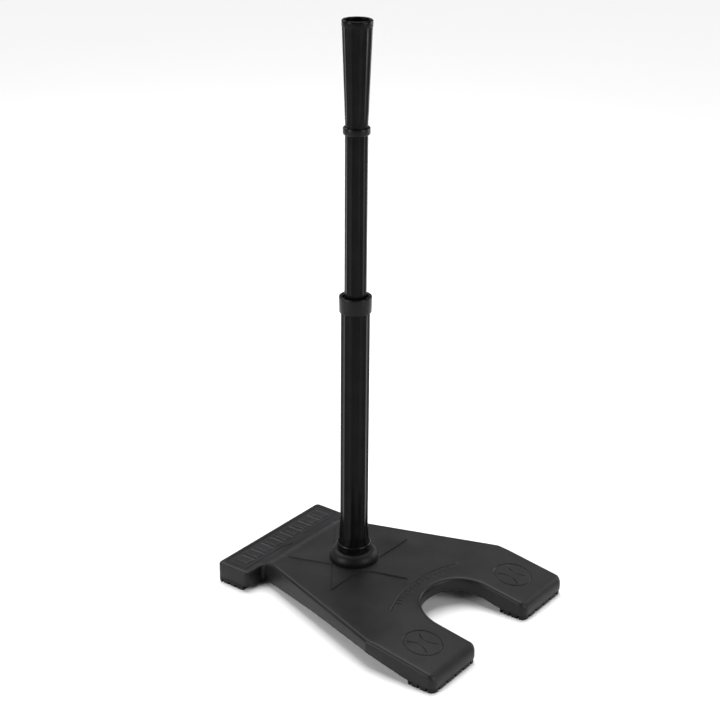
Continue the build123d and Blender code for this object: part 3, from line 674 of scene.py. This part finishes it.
# %% The three tread pads
LEG_PAD_INSET, PAD_CORNER_R, SLOT_PITCH_X = 1.5, 11.5, 23.5
LEG_SLOT_DEPTH, REAR_SLOT_DEPTH, REAR_PAD_Y = 7.0, 5.5, 141.5
for side, node in ((-1, "front_left_tread"), (1, "front_right_tread")):
    middle = side * (WING_HALF + NOTCH_HALF) / 2
    half = (WING_HALF - NOTCH_HALF) / 2 - LEG_PAD_INSET
    x0, x1, y0, y1 = middle - half, middle + half, FRONT_Y + LEG_PAD_INSET, LEG_FOOT_Y
    corners = [(x0, y0), (x1, y0), (x1, y1), (x0, y1)]
    loop = rounded_line([(corner, PAD_CORNER_R) for corner in corners], True, 9.0, 300.0)
    slots_x = [middle + SLOT_PITCH_X * k for k in range(-2, 3)]
    stud_pad(node + "_studs", loop, slots_x, [-305.0, -289.0, -273.0], LEG_SLOT_DEPTH, node)
loop = rounded_line([((-BAR_HALF, REAR_PAD_Y), 0.5), ((BAR_HALF, REAR_PAD_Y), 0.5), ((BAR_HALF, REAR_Y), 9),
                     ((-BAR_HALF, REAR_Y), 9)], True, 9.0, 300.0)
slots_x = [SLOT_PITCH_X * (k + 0.5) for k in range(-6, 6)]
stud_pad("rear_tread_studs", loop, slots_x, [157.0, 173.0, 189.0], REAR_SLOT_DEPTH, "rear_tread", wedge_lift)

# %% [markdown]
# Everything on the stem is round or nearly so. A piece is drawn as a closed chain of stations,
# each with a height, a radius and how deep its flutes are; joining the rings in order makes the
# wall, and coming back down the inside makes the bore. The flutes are shallow scoops with
# narrow ribs between them, twelve around; they are cut a little deeper than the real 0.9 mm so
# that the ribs catch light. With no flutes the same helper turns plain rings.

# %% Helper: turned and fluted pieces
FLUTES = 12
HALF_PITCH = math.pi / FLUTES
RIB_HALF = math.radians(1.8)
FLUTE_DEEP = 0.055          # share of the radius


def flute_angles(turn):
    """Angles and scoop depths (0 to 1) around a fluted tube; turn is the first rib, in degrees."""
    angles, scoops = [], []
    for k in range(FLUTES):
        middle = math.radians(turn) + HALF_PITCH * (2 * k + 1)
        for t in np.linspace(-1, 1, 9):
            angles.append(middle + t * (HALF_PITCH - RIB_HALF))
            scoops.append(1 - t * t)
        angles.append(middle + HALF_PITCH)
        scoops.append(0.0)
    return np.array(angles), np.array(scoops)


def ringed(name, stations, turn, material, body, nodes):
    """Closed skin through stations of (height, radius, flute depth)."""
    angles, scoops = flute_angles(turn)
    points, faces = [], []
    for z, radius, flute in stations:
        reach = radius * (1 - FLUTE_DEEP * flute * scoops)
        points.extend(zip(reach * np.cos(angles), reach * np.sin(angles), [z] * len(angles)))
    count, rows = len(angles), len(stations)
    for row in range(rows):
        a, b = row * count, (row + 1) % rows * count
        faces.extend((a + k, a + (k + 1) % count, b + (k + 1) % count, b + k) for k in range(count))
    make_piece(name, points, faces, material, body, nodes)


def turned(name, corners, material, slot, body, node):
    """Ring with a closed, rounded section of ((radius, height), rounding) corners."""
    section = rounded_line(corners, True, 15.0, 40.0)
    ringed(name, [(z, r, 0) for r, z in section], 0, material, body, [node])


# %% [markdown]
# The lower tube is stretched over its plug, so its foot swells slightly and the flutes fade
# out there. The upper tube keeps one section along its length, apart from a groove near its
# foot that carries the guide ring.

# %% The two tubes
RIM = 1028.0                # top of the cup at the height shown
CUP_FOOT, SEAM = RIM - 186.5, RIM - 180.1       # the tube ends at the seam, inside the stop ring
LOWER_TURN, UPPER_TURN = -6.1, -15.6
LOWER_R, BORE_R, FLARE_R, PLUG_R = 25.4, 20.9, 27.3, 22.8
LOWER_FOOT, LOWER_TOP = SOCKET_Z + 0.1, 0.537 * RIM
FLARE_Z, FLARE_LEN = 92.0, 40.0
lower = [(LOWER_FOOT, FLARE_R, 0), (FLARE_Z - 4, FLARE_R, 0), (FLARE_Z, FLARE_R - 0.05, 0.5)]
for t in np.linspace(0.15, 1, 7):
    radius = FLARE_R - (FLARE_R - LOWER_R) * t * t * (3 - 2 * t)
    lower.append((FLARE_Z + FLARE_LEN * t, radius, 0.5 + 0.5 * min(1, 2 * t)))
lower += [(z, LOWER_R, 1) for z in np.linspace(150, LOWER_TOP - 0.6, 14)]
lower += [(LOWER_TOP, LOWER_R - 0.5, 0.9), (LOWER_TOP, BORE_R + 0.4, 0), (LOWER_TOP - 0.4, BORE_R, 0),
          (132.0, BORE_R, 0), (116.1, PLUG_R, 0), (LOWER_FOOT, PLUG_R, 0)]
ringed("lower_tube_skin", lower, LOWER_TURN, tube_rubber, "base", ["lower_tube"])
UPPER_R, UPPER_BORE_R, GROOVE_R = 19.05, 14.0, 17.4
UPPER_FOOT = SEAM - 505.94
upper = [(UPPER_FOOT, UPPER_R - 0.65, 0.8), (UPPER_FOOT + 0.7, UPPER_R, 1), (UPPER_FOOT + 6, UPPER_R, 1),
         (UPPER_FOOT + 6, GROOVE_R, 0), (UPPER_FOOT + 21, GROOVE_R, 0), (UPPER_FOOT + 21, UPPER_R, 1)]
upper += [(z, UPPER_R, 1) for z in np.linspace(UPPER_FOOT + 40, SEAM, 16)]
upper += [(SEAM, UPPER_BORE_R, 0), (UPPER_FOOT, UPPER_BORE_R, 0)]
ringed("upper_tube_skin", upper, UPPER_TURN, tube_rubber, "upper_stem", ["upper_tube"])

# %% [markdown]
# The cup is moulded in one: a spigot inside the tube, a neck, a long fluted taper, and a plain
# band with a rounded rim. The flutes run out just under the band, where the taper stops in a
# small step.

# %% The ball cup
SPIGOT_FOOT, SPIGOT_R, BAND_R, LIP_R, MOUTH_R, DRAIN_R = SEAM - 25, 13.9, 25.5, 2.25, 21.0, 10.0
TAPER_FOOT = RIM - 164.5
cup = [(SPIGOT_FOOT, SPIGOT_R - 0.5, 0), (SPIGOT_FOOT + 0.5, SPIGOT_R, 0), (SEAM + 0.1, SPIGOT_R, 0),
       (SEAM + 0.1, UPPER_R, 0), (TAPER_FOOT, 19.1, 0.4)]
cup += [(TAPER_FOOT + 153.5 * t, 19.2 + 5.7 * t, min(1, 0.4 + 12 * t)) for t in np.linspace(0.02, 0.985, 16)]
cup += [(RIM - 11.4, 24.9, 0.8), (RIM - 11.0, 24.95, 0), (RIM - 11.0, 25.25, 0), (RIM - 10.6, BAND_R, 0),
        (RIM - 2.4, BAND_R, 0)]
cup += [(RIM - LIP_R + LIP_R * math.sin(a), BAND_R - LIP_R + LIP_R * math.cos(a), 0)
        for a in np.radians(np.arange(15, 180, 15))]
cup += [(RIM - 2.4, MOUTH_R, 0), (RIM - 13.5, MOUTH_R, 0), (RIM - 14.2, 20.6, 0), (RIM - 156.0, 14.0, 0),
        (TAPER_FOOT, DRAIN_R, 0), (SPIGOT_FOOT, DRAIN_R, 0)]
ringed("ball_cup_skin", cup, UPPER_TURN, cup_rubber, "upper_stem", ["ball_cup"])

# %% [markdown]
# Four soft rings dress the stem: the domed boot on the star, the foot ring that seals it, the
# collar over the mouth of the lower tube, and the stop ring over the joint below the cup. Each
# one is turned from its section. The foot ring leans out a little so that its lip stands proud.

# %% Boot, foot ring, collar and stop ring
BOOT_FOOT, BOOT_TOP, RING_TOP = DECK_Z + STAR_H, 74.0, 88.0
boot = [((SOCKET_R, BOOT_FOOT), 0), ((43.6, BOOT_FOOT), 1.6), ((44.0, 61.0), 6), ((41.3, 69.6), 14),
        ((33.0, BOOT_TOP), 9), ((SOCKET_R, BOOT_TOP), 0)]
turned("stem_boot_skin", boot, boot_rubber, "base_rubber", "base", "stem_boot")
foot_ring = [((SOCKET_R, BOOT_TOP), 0), ((29.6, BOOT_TOP), 0.9), ((29.5, 83.0), 1.5), ((30.7, 84.4), 0.8),
             ((30.6, 86.4), 1.0), ((29.4, RING_TOP), 1.0), ((SOCKET_R, RING_TOP), 0.4)]
turned("foot_ring_skin", foot_ring, ring_rubber, "ring_rubber", "base", "foot_ring")
COLLAR_TOP, COLLAR_H, COLLAR_BORE_R, COLLAR_MOUTH_R = LOWER_TOP + 9.2, 28.5, 25.5, 22.3
collar = [((COLLAR_BORE_R, COLLAR_TOP - COLLAR_H), 0.2), ((27.9, COLLAR_TOP - COLLAR_H), 0.9),
          ((28.4, COLLAR_TOP), 1.7), ((COLLAR_MOUTH_R, COLLAR_TOP), 2.4),
          ((COLLAR_MOUTH_R, LOWER_TOP + 2.1), 0), ((COLLAR_BORE_R, LOWER_TOP + 2.1), 0)]
turned("collar_skin", collar, ring_rubber, "ring_rubber", "base", "collar")
STOP_BORE_R, STOP_R, STOP_TOP = 19.15, 22.7, CUP_FOOT + 12.8
stop_ring = [((STOP_BORE_R, CUP_FOOT), 0.6), ((STOP_R, CUP_FOOT), 2.6), ((STOP_R, STOP_TOP), 2.6),
             ((STOP_BORE_R, STOP_TOP), 0.6)]
turned("stop_ring_skin", stop_ring, ring_rubber, "ring_rubber", "upper_stem", "stop_ring")

# %% [markdown]
# Inside the stem, a flanged bush grips the upper tube and a guide ring keeps its foot centred.
# The plug in the lower tube's foot holds the nut; a bolt and a wide washer pull it down from
# under the base. Only the washer and the bolt's head show, in the recess underneath.

# %% Bushes, plug and washer
BUSH_R, FLANGE_R, SLEEVE_FOOT, FLANGE_TOP = 19.1, 25.3, LOWER_TOP - 75, LOWER_TOP + 2
grip_bush = [((BUSH_R, SLEEVE_FOOT), 0.5), ((20.8, SLEEVE_FOOT), 0.6), ((20.8, LOWER_TOP), 0),
             ((FLANGE_R, LOWER_TOP), 0), ((FLANGE_R, FLANGE_TOP), 0.4), ((BUSH_R, FLANGE_TOP), 0.7)]
turned("grip_bush_skin", grip_bush, nylon, "nylon", "base", "grip_bush")
GUIDE_BORE_R, GUIDE_R, GUIDE_FOOT, GUIDE_TOP = 17.45, 20.85, UPPER_FOOT + 6.3, UPPER_FOOT + 20.7
guide_ring = [((GUIDE_BORE_R, GUIDE_FOOT), 0), ((GUIDE_R, GUIDE_FOOT), 0.9), ((GUIDE_R, GUIDE_TOP), 0.9),
              ((GUIDE_BORE_R, GUIDE_TOP), 0)]
turned("guide_ring_skin", guide_ring, nylon, "nylon", "guide", "guide_ring")
PLUG_FOOT, PLUG_FLOOR, PLUG_TOP, NUT_SEAT, NUT_HOLE_R = LOWER_FOOT, 58.1, 116.1, 50.0, 7.6
plug = [((BOLT_HOLE_R, PLUG_FOOT), 0.5), ((22.7, PLUG_FOOT), 1.0), ((22.7, PLUG_TOP), 0.5),
        ((21.1, PLUG_TOP), 0.5), ((21.1, PLUG_FLOOR), 1.0), ((NUT_HOLE_R, PLUG_FLOOR), 0.3),
        ((NUT_HOLE_R, NUT_SEAT), 0), ((BOLT_HOLE_R, NUT_SEAT), 0)]
turned("anchor_plug_skin", plug, nylon, "nylon", "base", "anchor_plug")
WASHER_R, WASHER_FOOT = 19.0, RECESS_Z - 2
washer = [((BOLT_HOLE_R, WASHER_FOOT), 0.2), ((WASHER_R, WASHER_FOOT), 0.5), ((WASHER_R, RECESS_Z), 0.3),
          ((BOLT_HOLE_R, RECESS_Z), 0.2)]
turned("anchor_washer_skin", washer, zinc, "zinc_steel", "base", "anchor_washer")

# %% [markdown]
# A hexagon head is a hexagon whose corners are turned away by a cone. Each of its points is
# drawn in where the cone is narrower than the hexagon, which gives the curved chamfer that a
# real head has. The thread is a stack of shallow V rings at the M8 pitch of 1.25 mm.

# %% The bolt and the nut
FLATS, ROUND = 13.0, 72     # across the hexagon's flats, and points round a bolt or a nut


def hex_reach(angle):
    """Radius of the hexagon at an angle."""
    return FLATS / 2 / math.cos((angle + math.pi / 6) % (math.pi / 3) - math.pi / 6)


def hexed(name, stations, node):
    """Closed skin through (height, radius, is_hexagon) stations."""
    angles = np.linspace(0, 2 * math.pi, ROUND, endpoint=False)
    points, faces = [], []
    for z, radius, is_hex in stations:
        for angle in angles:
            reach = min(radius, hex_reach(angle)) if is_hex else radius
            points.append((reach * math.cos(angle), reach * math.sin(angle), z))
    for row in range(len(stations)):
        if row == len(stations) - 1 and stations[row][1] == TIP_R:
            continue        # a solid bolt has no bore to come back down
        a, b = row * ROUND, (row + 1) % len(stations) * ROUND
        faces.extend((a + k, a + (k + 1) % ROUND, b + (k + 1) % ROUND, b + k) for k in range(ROUND))
    make_piece(name, points, faces, zinc, "base", [node], 25.0)


CORNER_R, SHANK_R, THREAD_ROOT_R, THREAD_PITCH = 7.6, 4.0, 3.45, 1.25
HEAD, BOLT_TIP, TIP_R = WASHER_FOOT - 5.5, 58.0, 0.001
bolt = [(HEAD, TIP_R, False), (HEAD + 0.35, 3.2, False), (HEAD, 4.4, False), (HEAD, 6.1, True),
        (HEAD + 0.9, CORNER_R, True), (WASHER_FOOT, CORNER_R, True), (WASHER_FOOT, SHANK_R, False),
        (40.0, SHANK_R, False)]
for k in range(14):
    root = 40.4 + THREAD_PITCH * k
    bolt += [(root, THREAD_ROOT_R, False), (root + 0.6, SHANK_R, False)]
bolt += [(BOLT_TIP - 0.1, 3.3, False), (BOLT_TIP, TIP_R, False)]
hexed("anchor_bolt_skin", bolt, "anchor_bolt")
NUT_BORE_R, NUT_FACE_R, NUT_FOOT, NUT_TOP = 4.1, 6.3, 50.1, 56.6
nut = [(NUT_FOOT, NUT_BORE_R, False), (NUT_FOOT, NUT_FACE_R, True), (NUT_FOOT + 0.6, CORNER_R, True),
       (NUT_TOP - 0.6, CORNER_R, True), (NUT_TOP, NUT_FACE_R, True), (NUT_TOP, NUT_BORE_R, False)]
hexed("anchor_nut_skin", nut, "anchor_nut")

# %% [markdown]
# The studio is a pale sweep with large soft lights. Black rubber shows its shape through what
# it reflects, so the lights are big and placed to draw a line along each rolled edge. The air
# is dark on the near side, which keeps the middle of the tubes deep.

# %% Floor
FLOOR_HALF = 30             # metres


def studio_floor():
    """Pale matt floor, far larger than the view."""
    mesh = bpy.data.meshes.new("floor")
    corners = [(x * FLOOR_HALF, y * FLOOR_HALF, 0) for x, y in ((-1, -1), (1, -1), (1, 1), (-1, 1))]
    mesh.from_pydata(corners, [], [(0, 1, 2, 3)])
    floor = bpy.data.objects.new("floor", mesh)
    bpy.context.scene.collection.objects.link(floor)
    material, tree, shader = fresh_material("pale_studio_floor")
    shader.inputs["Base Color"].default_value = linear("#f4f4f4")
    shader.inputs["Roughness"].default_value = 0.9
    shader.inputs["Specular IOR Level"].default_value = 0.1
    mesh.materials.append(material)
    print("floor:", 2 * FLOOR_HALF, "m square")


studio_floor()

# %% Lights
def soft_light(name, place, aim, width, height, watts):
    """Rectangular area light at a place, aimed at a point; metres."""
    light = bpy.data.lights.new(name, "AREA")
    light.shape = "RECTANGLE"
    light.size, light.size_y, light.energy = width, height, watts
    lamp = bpy.data.objects.new(name, light)
    lamp.location = place
    lamp.rotation_euler = (Vector(aim) - Vector(place)).to_track_quat("-Z", "Y").to_euler()
    bpy.context.scene.collection.objects.link(lamp)
    lamp.visible_camera = False


soft_light("left_bank", (-2.6, 1.2, 1.3), (0, 0.06, 0.5), 1.5, 1.8, 72)
soft_light("back_bank", (0.25, 2.2, 2.2), (0, 0.0, 0.05), 2.0, 1.1, 22)
soft_light("far_bank", (2.6, -0.9, 1.0), (0, 0.06, 0.4), 1.4, 1.6, 24)
soft_light("right_bank", (0.35, -2.9, 1.3), (0, 0.06, 0.5), 1.5, 1.8, 58)
sky = bpy.data.lights.new("overhead", "SUN")
sky.energy, sky.angle = 3.0, math.radians(46)
overhead = bpy.data.objects.new("overhead", sky)
overhead.rotation_euler = Vector((0.27, 0.22, 0.94)).to_track_quat("Z", "Y").to_euler()
bpy.context.scene.collection.objects.link(overhead)
print("lights:", [lamp.name for lamp in bpy.data.lights])

# %% The air around: bright behind the tee, dark on the side it is seen from
world = bpy.data.worlds.new("studio_air")
world.use_nodes = True
air = world.node_tree
direction = add_node(air, "ShaderNodeTexCoord")
behind = add_node(air, "ShaderNodeVectorMath", {"operation": "DOT_PRODUCT"}, {1: (0.8, 0.6, 0.1)},
                  {0: direction.outputs["Generated"]})
glow = add_node(air, "ShaderNodeMapRange", {"interpolation_type": "SMOOTHSTEP"},
                {"From Min": -0.1, "From Max": 0.8, "To Min": 0.05, "To Max": 0.22},
                {"Value": behind.outputs["Value"]})
air.nodes["Background"].inputs["Color"].default_value = linear("#ffffff")
air.links.new(glow.outputs["Result"], air.nodes["Background"].inputs["Strength"])
bpy.context.scene.world = world
bpy.context.scene.view_settings.view_transform = "Standard"
print("world:", world.name)

# %% [markdown]
# The camera stands in front and to the left, a little above the cup, with a lens long enough
# to keep the stem's sides nearly parallel.

# %% Camera
camera_data = bpy.data.cameras.new("camera")
camera_data.lens, camera_data.sensor_width = 79.21, 36.0
camera = bpy.data.objects.new("camera", camera_data)
heading, tilt, roll = math.radians(-53.09), math.radians(22.74), math.radians(0.47)
back = Vector((math.sin(heading) * math.cos(tilt), -math.cos(heading) * math.cos(tilt), math.sin(tilt)))
right = Vector((math.cos(heading), math.sin(heading), 0))
up = back.cross(right)
across = math.cos(roll) * right + math.sin(roll) * up
upward = math.cos(roll) * up - math.sin(roll) * right
place = Matrix.Translation((-2.01239, -1.46309, 1.50008))
camera.matrix_world = place @ Matrix((across, upward, back)).transposed().to_4x4()
bpy.context.scene.collection.objects.link(camera)
bpy.context.scene.camera = camera
print("camera at", [round(v, 2) for v in place.translation], "m")
